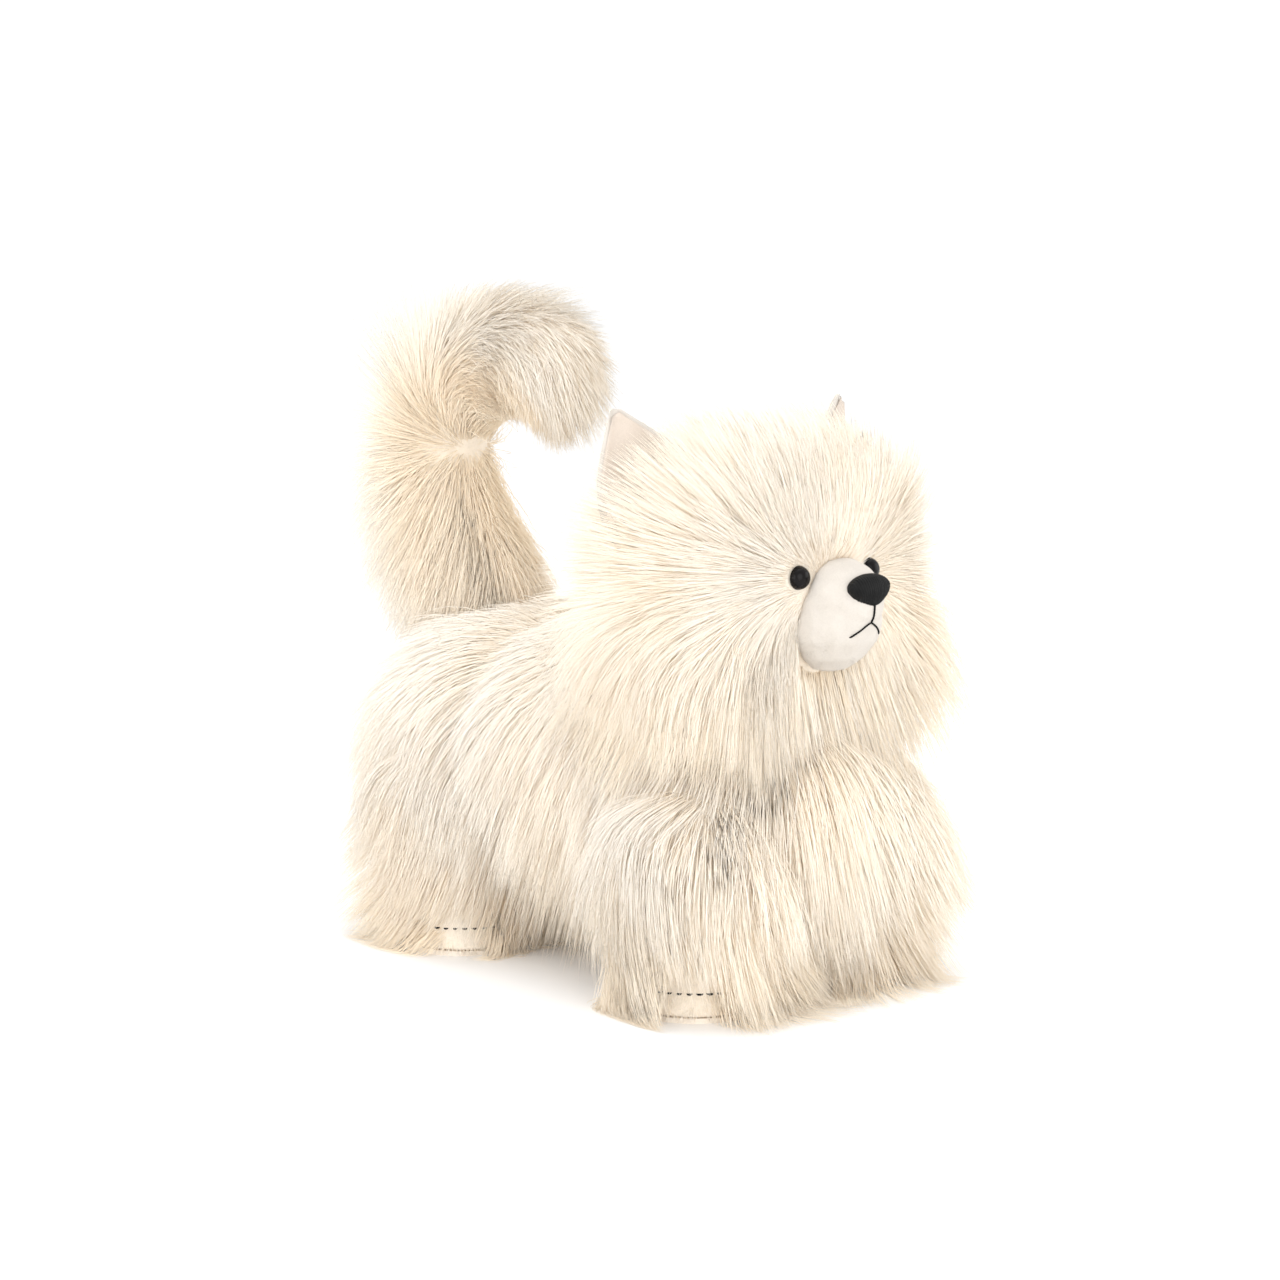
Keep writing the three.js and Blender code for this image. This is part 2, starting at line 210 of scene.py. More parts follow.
def cloth_material(name, low, high, scale, bump, roughness=0.85, sheen=0.15, gloss=0.2):
    """Short pile or backing: mottled colour and a fine fibre bump."""
    material, nodes, links, shader = principled(name)
    place = nodes.new("ShaderNodeTexCoord")
    soft = nodes.new("ShaderNodeTexNoise")
    soft.inputs["Scale"].default_value = scale / 12
    soft.inputs["Detail"].default_value = 5
    fibre = nodes.new("ShaderNodeTexNoise")
    fibre.inputs["Scale"].default_value = scale
    fibre.inputs["Detail"].default_value = 3
    for texture in (soft, fibre):
        links.new(place.outputs["Object"], texture.inputs["Vector"])
    colour = ramp(nodes, links, soft.outputs["Fac"], [(0.3, low), (0.7, high)])
    grain = ramp(nodes, links, fibre.outputs["Fac"], [(0.3, (0.94,) * 3), (0.6, (1, 1, 1))])
    links.new(mixed(nodes, links, 1.0, colour, grain, "MULTIPLY"), shader.inputs["Base Color"])
    relief = nodes.new("ShaderNodeBump")
    relief.inputs["Strength"].default_value = bump
    relief.inputs["Distance"].default_value = BUMP_DISTANCE
    links.new(fibre.outputs["Fac"], relief.inputs["Height"])
    links.new(relief.outputs["Normal"], shader.inputs["Normal"])
    shader.inputs["Roughness"].default_value = roughness
    shader.inputs["Sheen Weight"].default_value = sheen
    shader.inputs["Specular IOR Level"].default_value = gloss
    return material


# Root colours darker than the tips: painted shade deep in the pile.
IVORY_PILE = pile_material("ivory_pile", (0.91, 0.78, 0.60), (0.988, 0.943, 0.873),
                           (0.98, 0.83, 0.62))
VELOUR_NAP = pile_material("velour_nap", (0.55, 0.50, 0.44), (0.61, 0.56, 0.50),
                           (0.57, 0.52, 0.45))
# The backing cloth under the pile is a real part; its tan colour is painted shade, the tone of
# the shaded depth of the pile.
UNDER_PILE = cloth_material("under_pile", (0.80, 0.70, 0.57), (0.86, 0.77, 0.65), 900, 0.6)
VELOUR = cloth_material("cream_velour", (0.55, 0.505, 0.45), (0.60, 0.555, 0.50), 1500, 0.35)
EAR_LINING = cloth_material("beige_velour", (0.57, 0.485, 0.41), (0.62, 0.535, 0.46), 1500, 0.4)
THREAD = cloth_material("black_thread", (0.002, 0.002, 0.002), (0.006, 0.006, 0.006), 2500, 0.5,
                        roughness=0.55, sheen=0.0, gloss=0.10)
EYE_PLASTIC = cloth_material("black_eye_plastic", (0.002, 0.002, 0.002), (0.005, 0.004, 0.004),
                             300, 0.02, roughness=0.08, sheen=0.0, gloss=0.10)
FIRM_PLASTIC = cloth_material("white_plastic", (0.80, 0.80, 0.78), (0.86, 0.86, 0.84), 700, 0.1,
                              roughness=0.4, sheen=0.0)
SOLE_CLOTH = cloth_material("sole_cloth", (0.80, 0.71, 0.60), (0.86, 0.78, 0.68), 1300, 0.5)
PILES = {"ivory_pile": IVORY_PILE, "cream_velour": VELOUR_NAP}


# ------------------------ meshes

def vertex_rows(mesh, what):
    """The places ("co") or normals ("normal") of a mesh's vertices, a row each."""
    flat = np.zeros(len(mesh.vertices) * 3, np.float32)
    mesh.vertices.foreach_get(what, flat)
    return flat.reshape(-1, 3).astype(float)


def new_object(name, vertices_mm, faces, material):
    """A smooth-shaded mesh object in the scene."""
    mesh = bpy.data.meshes.new(name)
    mesh.from_pydata((np.asarray(vertices_mm) * MM).tolist(), [], faces)
    mesh.materials.append(material)
    mesh.shade_smooth()
    obj = bpy.data.objects.new(name, mesh)
    bpy.context.scene.collection.objects.link(obj)
    return obj


def baked(obj):
    """Replaces an object's mesh by what its modifiers make of it."""
    graph = bpy.context.evaluated_depsgraph_get()
    made = bpy.data.meshes.new_from_object(obj.evaluated_get(graph))
    obj.modifiers.clear()
    obj.data = made
    made.shade_smooth()
    return obj


def skin_of(name, nodes, voxel, relax, material):
    """One smooth closed skin round several CAD nodes."""
    vertices, faces, first = [], [], 0
    for node in nodes:
        mesh = frame["nodes"][node].data
        vertices.append(vertex_rows(mesh, "co") / MM)
        faces += [[first + i for i in p.vertices] for p in mesh.polygons]
        first += len(mesh.vertices)
    obj = new_object(name, np.concatenate(vertices), faces, material)
    remesh = obj.modifiers.new("skin", "REMESH")
    remesh.mode = "VOXEL"
    remesh.voxel_size = voxel * MM
    soften = obj.modifiers.new("soften", "SMOOTH")
    soften.factor = 0.5
    soften.iterations = relax
    return baked(obj)


def tidy_normals(obj, weld=True):
    """Points every face of a closed piece outwards."""
    form = bmesh.new()
    form.from_mesh(obj.data)
    if weld:
        bmesh.ops.remove_doubles(form, verts=form.verts, dist=1e-6)
    bmesh.ops.recalc_face_normals(form, faces=form.faces)
    form.to_mesh(obj.data)
    form.free()
    obj.data.shade_smooth()


def resampled(path, step):
    """The same path with points an even step apart."""
    lengths = np.linalg.norm(np.diff(path, axis=0), axis=1)
    along = np.concatenate([[0], np.cumsum(lengths)])
    count = max(4, int(along[-1] / step) + 1)
    even = np.linspace(0, along[-1], count)
    return np.stack([np.interp(even, along, path[:, k]) for k in range(3)], axis=1)


def across(path, off):
    """Two directions square to a path and to each other; off is one it never runs in."""
    along = unit(np.gradient(path, axis=-2))
    side = unit(np.cross(along, off))
    return side, np.cross(along, side)


def tubes_object(name, tubes, material, sides=8):
    """Round-ended tubes along several paths, as one object."""
    vertices, faces = [], []
    for path, radius in tubes:
        first = len(vertices)
        side, other = across(path, [0.13, 0.92, 0.37])
        ends = np.ones(len(path))
        ends[[0, -1]] = 0.45
        ends[[1, -2]] = 0.85
        for i, point in enumerate(path):
            for k in range(sides):
                a = 2 * math.pi * k / sides
                vertices.append(point + (side[i] * math.cos(a) + other[i] * math.sin(a))
                                * radius * ends[i])
        for i in range(len(path) - 1):
            for k in range(sides):
                a, b = first + i * sides + k, first + i * sides + (k + 1) % sides
                faces.append([a, b, b + sides, a + sides])
        faces.append([first + k for k in range(sides)][::-1])
        last = first + (len(path) - 1) * sides
        faces.append([last + k for k in range(sides)])
    obj = new_object(name, np.array(vertices), faces, material)
    tidy_normals(obj, weld=False)
    return obj


def turned(name, profile, centre, sides, material):
    """A solid of revolution about the Y line through centre; profile is (radius, y) pairs."""
    vertices, faces, rings = [], [], []
    for radius, y in profile:
        first = len(vertices)
        turns = [0.0] if radius == 0 else [2 * math.pi * k / sides for k in range(sides)]
        for a in turns:
            vertices.append((
                centre[0] + radius * math.cos(a), y, centre[2] + radius * math.sin(a)))
        rings.append(list(range(first, len(vertices))))
    for low, high in zip(rings, rings[1:]):
        for k in range(sides):
            a, b = low[k % len(low)], low[(k + 1) % len(low)]
            c, d = high[(k + 1) % len(high)], high[k % len(high)]
            faces.append([v for i, v in enumerate((a, b, c, d)) if v not in (a, b, c, d)[:i]])
    obj = new_object(name, vertices, faces, material)
    tidy_normals(obj)
    return obj


def surface_points(obj, count, rng):
    """Evenly scattered points on a mesh and the smooth normals there, in millimetres."""
    mesh = obj.data
    mesh.calc_loop_triangles()
    corners = np.zeros(len(mesh.loop_triangles) * 3, np.int32)
    mesh.loop_triangles.foreach_get("vertices", corners)
    corners = corners.reshape(-1, 3)
    places = vertex_rows(mesh, "co") / MM
    normals = vertex_rows(mesh, "normal")
    a, b, c = (places[corners[:, k]] for k in range(3))
    area = np.linalg.norm(np.cross(b - a, c - a), axis=1)
    chosen = rng.choice(len(area), count, p=area / area.sum())
    r, s = np.sqrt(rng.random(count)), rng.random(count)
    weights = np.stack([1 - r, r * (1 - s), r * s], axis=1)[:, :, None]
    picked = corners[chosen]
    return (
        (places[picked] * weights).sum(1),
        unit((normals[picked] * weights).sum(1)),
    )


# ------------------------ pile

LONG, SHORT = 6, 4  # points along a strand
ROOT_DEPTH = 0.8  # how far strands start below the skin
UNDER_SHARE, WISP_SHARE = 0.34, 0.035  # of all strands
ROOM_SHARE, ROOM_MM = 0.03, 8.5  # the room pile has past the CAD box: of its side, and more
ROOM_EDGE = 13.0  # how far inside that room strands start to bend
SHADES = 64  # columns of the pile's colour map
MAX_STRANDS = 7000  # in one piece
SKIN_SHADE = 0.30  # how far a strand is shaded like the skin it grows from


def grown(roots, normals, groom, points, rng):
    """Strand centrelines, as an array of strands by points by three.

    The groom has the way along the skin ("flow"), how far a strand stands up from it ("lift"),
    the way it ends, its length and how far it strays.
    """
    count = len(roots)
    t = np.linspace(0, 1, points)
    kind = rng.random(count)
    under = kind < UNDER_SHARE
    wisp = kind > 1 - WISP_SHARE
    size = np.where(under, rng.uniform(0.45, 0.78, count), rng.uniform(0.84, 1.06, count))
    length = groom["length"] * np.where(wisp, 1.16, size)
    stray = rng.normal(size=(count, 3)) * (groom["stray"] * np.where(wisp, 2.2, 1))[:, None]
    lift = np.broadcast_to(groom["lift"], count)[:, None]
    start = unit(groom["flow"] * (1 - lift) + normals * lift)
    end = unit(groom["end"])
    line = np.zeros((count, points, 3))
    line[:, 0] = roots - normals * ROOT_DEPTH
    for k in range(1, points):
        bend = t[k] ** 0.8
        way = unit(start * (1 - bend) + end * bend + stray * (0.4 + t[k]))
        line[:, k] = line[:, k - 1] + way * (length / (points - 1))[:, None]
    return line


def clumped(line, per_clump, pull, rng):
    """Draws strands towards a guide strand near them, more at their tips."""
    count, points = line.shape[:2]
    guides = rng.choice(count, max(1, int(count / per_clump)), replace=False)
    tree = kdtree.KDTree(len(guides))
    for i, g in enumerate(guides):
        tree.insert(line[g, 0], i)
    tree.balance()
    near = np.array([guides[tree.find(p)[1]] for p in line[:, 0]])
    t = np.linspace(0, 1, points)
    pull = np.broadcast_to(pull, count) * rng.uniform(0.4, 1.0, count)
    weight = (t ** 1.4)[None, :, None] * pull[:, None, None]
    return line * (1 - weight) + line[near] * weight


def above_floor(line, clear=0.6, spread=0.35):
    """Turns strands that would pass through the floor outwards along it."""
    line = line.copy()
    for k in range(1, line.shape[1]):
        step = line[:, k] - line[:, k - 1]
        sink = np.maximum(clear - line[:, k, 2], 0)
        outward = unit(step * [1, 1, 0])
        shift = outward * (sink * spread)[:, None] + UP * sink[:, None]
        line[:, k:] += shift[:, None, :]
    return line


def inside_box(line):
    """Bends strands in where they would pass the room that pile has round the CAD box."""
    low, high = (np.array(corner) / MM for corner in cad_box)
    spare = ROOM_SHARE * (high - low) + ROOM_MM
    bent = line.copy()
    for axis, sign in ((0, 1), (0, -1), (1, 1), (1, -1), (2, 1)):  # every face but the floor
        face = sign * (high if sign > 0 else low)[axis] + spare[axis]
        over = sign * bent[:, :, axis] - (face - ROOM_EDGE)
        eased = np.where(over > 0, ROOM_EDGE * (1 - np.exp(-over / ROOM_EDGE)), over)
        bent[:, :, axis] += sign * (eased - over)
    return bent


def strand_pattern(rings):
    """The triangles of one strand, and for each corner its column and its height."""
    pattern, columns, heights = [[0, 2, 1]], [[0, 1, 0.5]], [[0, 0, 0]]
    for j in range(rings):
        for k in range(3):
            a, b = 3 * j + k, 3 * j + (k + 1) % 3
            if j == rings - 1:
                pattern.append([a, b, 3 * rings])
                columns.append([k, k + 1, k + 0.5])
                heights.append([j, j, j + 1])
            else:
                pattern += [[a, b, b + 3], [a, b + 3, a + 3]]
                columns += [[k, k + 1, k + 1], [k, k + 1, k]]
                heights += [[j, j, j + 1], [j, j + 1, j + 1]]
    return np.array(pattern), np.array(columns).ravel(), np.array(heights).ravel()


def pile_piece(name, line, skin_normals, radius, warmth, body, slot):
    """One closed three-sided tapering tube for each strand."""
    count, points = line.shape[:2]
    rings = points - 1
    corners = rings * 3 + 1  # of one strand
    t = np.linspace(0, 1, points)
    side, other = across(line, [0.31, 0.52, 0.79])
    thick = radius[:, None] * (1 - 0.85 * t[None, :rings] ** 1.5)
    vertices = np.zeros((count, corners, 3))
    for k in range(3):
        angle = 2 * math.pi * k / 3
        ring = (side * math.cos(angle) + other * math.sin(angle))[:, :rings]
        vertices[:, k:rings * 3:3] = line[:, :rings] + ring * thick[:, :, None]
    vertices[:, -1] = line[:, -1]

    pattern, columns, heights = strand_pattern(rings)
    faces = pattern[None] + np.arange(count)[:, None, None] * corners

    mesh = bpy.data.meshes.new(name)
    mesh.vertices.add(count * corners)
    mesh.vertices.foreach_set("co", (vertices * MM).astype(np.float32).ravel())
    mesh.loops.add(faces.size)
    mesh.loops.foreach_set("vertex_index", faces.astype(np.int32).ravel())
    mesh.polygons.add(faces.size // 3)
    mesh.polygons.foreach_set("loop_start", np.arange(0, faces.size, 3, dtype=np.int32))
    mesh.update(calc_edges=True)
    # Each strand lies in the column of its shade, clear of the column's edges.
    shade = np.clip((warmth * SHADES).astype(int), 0, SHADES - 1)
    u = (shade[:, None] + (columns[None] + 0.4) / 3.8) / SHADES
    v = np.broadcast_to(0.01 + 0.98 * heights[None] / rings, u.shape)
    layer = mesh.uv_layers.new(name="OFBake")
    layer.data.foreach_set("uv", np.stack([u, v], axis=-1).astype(np.float32).ravel())
    mesh.materials.append(PILES[slot])
    mesh.shade_smooth()
    skin = np.repeat(skin_normals, corners, axis=0)
    shading = unit(vertex_rows(mesh, "normal") * (1 - SKIN_SHADE) + skin * SKIN_SHADE)
    mesh.normals_split_custom_set_from_vertices(shading.tolist())
    obj = bpy.data.objects.new(name, mesh)
    bpy.context.scene.collection.objects.link(obj)
    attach(obj, body)


def pile(name, line, normals, radius, warmth, body, slot="ivory_pile"):
    """Pile as one piece, or as several numbered ones where there is too much for one."""
    line = inside_box(above_floor(line))
    parts = math.ceil(len(line) / MAX_STRANDS)
    order = np.argsort(line[:, 0, 1], kind="stable")
    for i, chosen in enumerate(np.array_split(order, parts)):
        label = name if parts == 1 else f"{name}_{i + 1}"
        pile_piece(label, line[chosen], normals[chosen], radius[chosen], warmth[chosen],
                   body, slot)


def sorted_pile(masks, line, normals, radius, warmth, body):
    """Pile in pieces by name, each of the strands its mask picks."""
    for name, mask in masks.items():
        pile(name, line[mask], normals[mask], radius[mask], warmth[mask], body)


def patches(points, seed):
    """How warm the pile is from place to place, from 0 to 1."""
    broad = 0.18 * wobble(points, 70, seed)[:, 0]
    fine = 0.14 * wobble(points, 16, seed + 1)[:, 0]
    return np.clip(0.40 + broad + fine, 0, 1)


def combed(groom, roots, normals, seed):
    """Groom with local cowlicks and clumps of a different length."""
    swirl = wobble(roots, 48, seed) * 0.20 + wobble(roots, 15, seed + 1) * 0.12
    groom["flow"] = tangent(groom["flow"] + swirl, normals)
    groom["length"] = groom["length"] * (1 + 0.12 * wobble(roots, 22, seed + 2)[:, 0])
    return groom


# ------------------------ head

HEAD_SKIN = skin_of("head_cover", [*HEAD_NODES, "head_stuffing"], 3, 12, UNDER_PILE)
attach(HEAD_SKIN, "head")
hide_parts(*HEAD_NODES, "head_stuffing")


def head_groom(roots, normals):
    """Pile combed away from the face: up over the crown, out at the cheeks, down in a ruff."""
    from_face = roots - FACE
    reach = np.linalg.norm(from_face, axis=1)
    height = (roots[:, 2] - HEAD_CENTRE[2]) / HEAD_RADII[2]
    crown = smooth(height, 0.30, 0.90)
    ruff = smooth(-height, -0.10, 0.55)
    rear = smooth(roots[:, 1], HEAD_CENTRE[1] - 5, HEAD_CENTRE[1] + 40)
    cheek = smooth(np.abs(roots[:, 0]), 26, 56) * (1 - rear)
    outward = unit((roots - HEAD_CENTRE) * [1, 1, 0])
    ring = unit(from_face * [1, 0, 1])
    brows = smooth(height, -0.05, 0.40)
    away = unit(from_face * (np.array([1, 1, 0.9]) - brows[:, None] * [0.75, 0, 0]))
    fall = (0.10 + 0.90 * ruff) * (1 - crown)
    flow = tangent(tangent(away, normals) - UP * fall[:, None], normals)
    out = smooth(reach, 16, 58)
    hang = smooth(ruff, 0.15, 0.85)[:, None]
    lying = flow + 0.20 * normals - UP * (0.30 * (1 - crown))[:, None]
    lying = lying + ring * (0.75 * cheek)[:, None]
    hanging = outward * (0.30 + 0.35 * cheek)[:, None] - UP
    bridge = np.exp(-(roots[:, 0] / 13) ** 2 - ((roots[:, 2] - MUZZLE_HIGH[2] - 2) / 8) ** 2)
    bridge = bridge * (roots[:, 1] < HEAD_CENTRE[1])
    brow = crown * smooth(-roots[:, 1], -HEAD_CENTRE[1], -HEAD_LOW[1])
    length = 5 + 50 * out * (1 - 0.32 * crown) + 42 * ruff * smooth(reach, 14, 40)
    length += 9 * bridge - 14 * brow
    return {
        "flow": flow,
        "length": np.minimum(length, 66 + 9 * hang[:, 0]) * (1 - 0.10 * rear * (1 - ruff)),
        "lift": 0.32 + 0.28 * out + 0.12 * hang[:, 0] * out + 0.20 * cheek * out + 0.04 * crown
                + 0.30 * bridge,
        "end": lying * (1 - hang) + hanging * hang,
        "stray": 0.03 + 0.05 * out,
    }


EYE_AHEAD, EYE_OUT = 10, 2  # from the washer to the part of the eye that shows
EYE_ROOM, EYE_ROOM_INNER = 6.6, 5.2  # round an eye, and between the eyes


def clear_of_face(line):
    """True for the strands that neither cover an eye nor grow through the muzzle."""
    keep = np.ones(len(line), bool)
    size = (MUZZLE_HIGH - MUZZLE_LOW) / 2
    size[1] = MUZZLE_HIGH[1] - MUZZLE_LOW[1]
    centre = np.array([0, MUZZLE_HIGH[1], MUZZLE_CENTRE[2]])
    for k in range(line.shape[1]):
        for washer in EYES.values():
            eye = washer + np.array([np.sign(washer[0]) * EYE_OUT, -EYE_AHEAD, 0])
            inner = np.abs(line[:, 0, 0]) < abs(washer[0]) - 4
            room = np.where(inner, EYE_ROOM_INNER, EYE_ROOM)
            keep &= np.linalg.norm(line[:, k] - eye, axis=1) > room
        keep &= np.linalg.norm((line[:, k] - centre) / size, axis=1) > 0.98
    return keep


def make_head_pile(count=42000, face_candidates=64000, face_reach=52):
    """The long pile of the head, and a shorter, denser one round the face."""
    rng = np.random.default_rng(11)
    roots, normals = surface_points(HEAD_SKIN, count, rng)
    groom = combed(head_groom(roots, normals), roots, normals, 12)
    long = smooth(groom["length"], 14, 34)
    line = grown(roots, normals, groom, LONG, rng)
    line = clumped(line, 40, 0.10 + 0.24 * long, rng)
    line = clumped(line, 8, 0.15 + 0.25 * long, rng)
    keep = clear_of_face(line)
    line, roots, normals, long = line[keep], roots[keep], normals[keep], long[keep]
    radius = rng.uniform(0.13, 0.26, len(line)) * (0.7 + 0.3 * long)
    warmth = patches(roots, 13) * 0.7 + 0.2 * rng.random(len(line))
    # Warmer, darker pile low on the head, in the ruff and under the chin: painted shade.
    warmth += 0.35 * smooth(-roots[:, 2], -HEAD_CENTRE[2] + 8, -HEAD_CENTRE[2] + 40)
    front = roots[:, 1] < HEAD_CENTRE[1]
    low = roots[:, 2] < HEAD_CENTRE[2] - 8
    right = roots[:, 0] < 0
    sorted_pile({
        "fur_ruff_right": low & right,
        "fur_ruff_left": low & ~right,
        "fur_cheek_right": ~low & front & right,
        "fur_cheek_left": ~low & front & ~right,
        "fur_nape_right": ~low & ~front & right,
        "fur_nape_left": ~low & ~front & ~right,
    }, line, normals, radius, warmth, "head")

    roots, normals = surface_points(HEAD_SKIN, face_candidates, rng)
    face = np.linalg.norm(roots - FACE, axis=1) < face_reach
    roots, normals = roots[face], normals[face]
    groom = combed(head_groom(roots, normals), roots, normals, 14)
    groom["length"] = groom["length"] * 0.75 + 1.5
    line = grown(roots, normals, groom, SHORT, rng)
    keep = clear_of_face(line)
    line, roots, normals = line[keep], roots[keep], normals[keep]
    radius = rng.uniform(0.14, 0.22, len(line))
    pile("fur_face", line, normals, radius, patches(roots, 13) * 0.6 + 0.1, "head")


make_head_pile()


# ------------------------ muzzle, nose, mouth and eyes

STITCH_WIDTH, STITCH_HEIGHT = 1.15, 0.30  # of one satin stitch on the nose
NOSE_SINK = 1.6  # how far the stitches draw the pad into the muzzle
MOUTH_RISE = 2.6  # how far the mouth sits above its CAD node
EYE_SINK = 2.4  # how far the pulled-in face draws the eyes back
THREAD_STEP = 0.35  # between the points of a thread's path

MUZZLE_SKIN = skin_of("muzzle_velour", ["muzzle_cover", "muzzle_stuffing"], 1.2, 10, VELOUR)
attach(MUZZLE_SKIN, "head")
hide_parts("muzzle_cover", "muzzle_stuffing")


def shape_muzzle(widen=1.15, bridge=1.6, lip=3.2):
    """Fills the stuffed muzzle out: wider, up to the line between the eyes, and at the lips."""
    for vertex in MUZZLE_SKIN.data.vertices:
        x, y, z = np.array(vertex.co) / MM
        up = smooth(z, MUZZLE_CENTRE[2] + 2, MUZZLE_HIGH[2])
        low = smooth(-z, -MUZZLE_CENTRE[2] + 4, -MUZZLE_LOW[2])
        front = smooth(-y, -MUZZLE_CENTRE[1], -MUZZLE_LOW[1])
        pout = math.exp(-((z - MUZZLE_CENTRE[2] + 6) / 13) ** 2) * front
        vertex.co = Vector((
            x * (widen + 0.08 * up - 0.10 * low), y - lip * pout, z + bridge * up)) * MM
    MUZZLE_SKIN.data.update()


shape_muzzle()


def on_muzzle(x, z, proud=0.0):
    """The point of the muzzle's front at (x, z), proud millimetres above the fabric."""
    start = Vector((x * MM, (MUZZLE_LOW[1] - 40) * MM, z * MM))
    hit, place, normal, _ = MUZZLE_SKIN.ray_cast(start, Vector((0, 1, 0)))
    if not hit:
        return np.array([x, MUZZLE_CENTRE[1], z])
    return np.array(place) / MM + np.array(normal) * proud


def make_nose():
    """A satin-stitched pad: the nose's form with a ridge for each thread."""
    nose = skin_of("nose_satin_stitch", ["nose"], 0.42, 5, THREAD)
    mesh = nose.data
    places = vertex_rows(mesh, "co") / MM
    normals = vertex_rows(mesh, "normal")
    down = smooth(NOSE_HIGH[2] - places[:, 2], 3.0, NOSE_HIGH[2] - NOSE_LOW[2])
    fan = places[:, 0].copy()
    places[:, 0] *= 1.08 - 0.42 * down
    places[:, 1] += NOSE_SINK
    ridge = np.abs(np.cos(math.pi * fan / STITCH_WIDTH)) * STITCH_HEIGHT
    places += normals * (ridge - 0.12)[:, None]
    mesh.vertices.foreach_set("co", (places * MM).astype(np.float32).ravel())
    mesh.update()
    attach(nose, "head")
    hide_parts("nose")


def twisted(path, radius, turn):
    """Two plies wound round a path once in turn millimetres, as tubes."""
    path = resampled(path, THREAD_STEP)
    side, other = across(path, [0.2, 1.0, 0.1])
    phase = np.arange(len(path)) * THREAD_STEP / turn * 2 * math.pi
    plies = []
    for half in (0, math.pi):
        wind = side * np.cos(phase + half)[:, None] + other * np.sin(phase + half)[:, None]
        plies.append((path + wind * radius * 0.55, radius))
    return plies


def make_mouth():
    """The seam down from the nose and the two sides of the mouth, in twisted thread."""
    low, high = box_mm("mouth_stitching")
    half = (high[0] - low[0]) / 2 - 0.6
    low, high = low + UP * MOUTH_RISE, high + UP * MOUTH_RISE / 2
    lip = low[2] + 0.46 * (high[2] - low[2])
    tubes = []
    drop = [on_muzzle(0, z, 0.25) for z in np.linspace(high[2] + 2, lip, 12)]
    tubes += twisted(np.array(drop), 0.36, 2.6)
    for side in (-1, 1):
        mouth = []
        for t in np.linspace(0, 1, 14):
            z = lip - (lip - low[2] - 0.6) * t ** 1.25
            mouth.append(on_muzzle(side * half * t, z, 0.25 - 0.5 * (t > 0.95)))
        tubes += twisted(np.array(mouth), 0.32, 2.4)
    obj = tubes_object("mouth_thread", tubes, THREAD)
    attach(obj, "head")
    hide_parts("mouth_stitching")


def make_eyes():
    """Safety eyes: a polished dome with a thin flange and a stem through the washer."""
    for name in EYES:
        low, high = box_mm(f"eye_{name}")
        radius = min(high[0] - low[0], high[2] - low[2]) / 2
        centre = (low + high) / 2
        front, rear = low[1] + EYE_SINK, high[1]
        rim = front + radius * 0.86
        profile = [(0, front)]
        for a in np.linspace(8, 84, 12):
            angle = math.radians(a)
            profile.append((radius * math.sin(angle), rim - (rim - front) * math.cos(angle)))
        profile += [  # the flange, then the stem
            (radius * 1.04, rim + 0.1), (radius * 1.04, rim + 0.7), (radius * 0.9, rim + 1.0),
            (radius * 0.42, rim + 1.2), (radius * 0.38, rear - 0.6), (radius * 0.30, rear),
            (0, rear),
        ]
        obj = turned(f"eye_dome_{name}", profile, centre, 40, EYE_PLASTIC)
        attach(obj, "head")
        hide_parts(f"eye_{name}")


make_nose()
make_mouth()
make_eyes()


def make_muzzle_fuzz(count=9000):
    """The nap of the muzzle fabric, seen at its outline."""
    rng = np.random.default_rng(41)
    roots, normals = surface_points(MUZZLE_SKIN, count, rng)
    off_nose = np.linalg.norm((roots - NOSE_CENTRE) / [14.5, 12, 9], axis=1) > 1
    shown = off_nose & (roots[:, 1] < MUZZLE_HIGH[1] - 3)
    roots, normals = roots[shown], normals[shown]
    groom = {
        "flow": tangent(np.array([0, 0.6, -1.0]), normals),
        "length": rng.uniform(0.8, 1.5, len(roots)),
        "lift": 0.45,
        "end": normals * 0.5 - UP + [0, 0.4, 0],
        "stray": 0.2,
    }
    line = grown(roots, normals, groom, SHORT, rng)
    line += normals[:, None, :] * 0.5
    radius = rng.uniform(0.05, 0.09, len(line))
    pile("fuzz_muzzle", line, normals, radius, np.full(len(line), 0.1), "head", "cream_velour")


make_muzzle_fuzz()


# ------------------------ ears

EAR_JOINTS = {j["child"]: j for j in frame["joints"] if j["child"].startswith("ear")}
EAR_ROWS, EAR_COLUMNS = 26, 15  # of the grid on each face of an ear piece
EAR_CUP = 3.0  # how far an ear is hollowed, where it is 60 mm tall
EAR_HEM = 1.8  # from the ear's edge to its lining's


def hull_2d(points):
    """The convex outline of flat points, anticlockwise."""
    points = sorted(map(tuple, points))
    sides = []
    for order in (points, points[::-1]):
        chain = []
        for p in order:
            while len(chain) > 1:
                (ax, ay), (bx, by) = chain[-2], chain[-1]
                if (bx - ax) * (p[1] - ay) - (by - ay) * (p[0] - ax) > 1e-9:
                    break
                chain.pop()
            chain.append(p)
        sides += chain[:-1]
    return np.array(sides)


def span_at(outline, height):
    """Where a level line enters and leaves a convex outline."""
    crossings = []
    for a, b in zip(outline, np.roll(outline, -1, axis=0)):
        if (a[1] - height) * (b[1] - height) <= 0 and abs(a[1] - b[1]) > 1e-9:
            crossings.append(a[0] + (b[0] - a[0]) * (height - a[1]) / (b[1] - a[1]))
    return (min(crossings), max(crossings)) if crossings else (0.0, 0.0)


def ear_vertices(node):
    return vertex_rows(frame["nodes"][node].data, "co") / MM


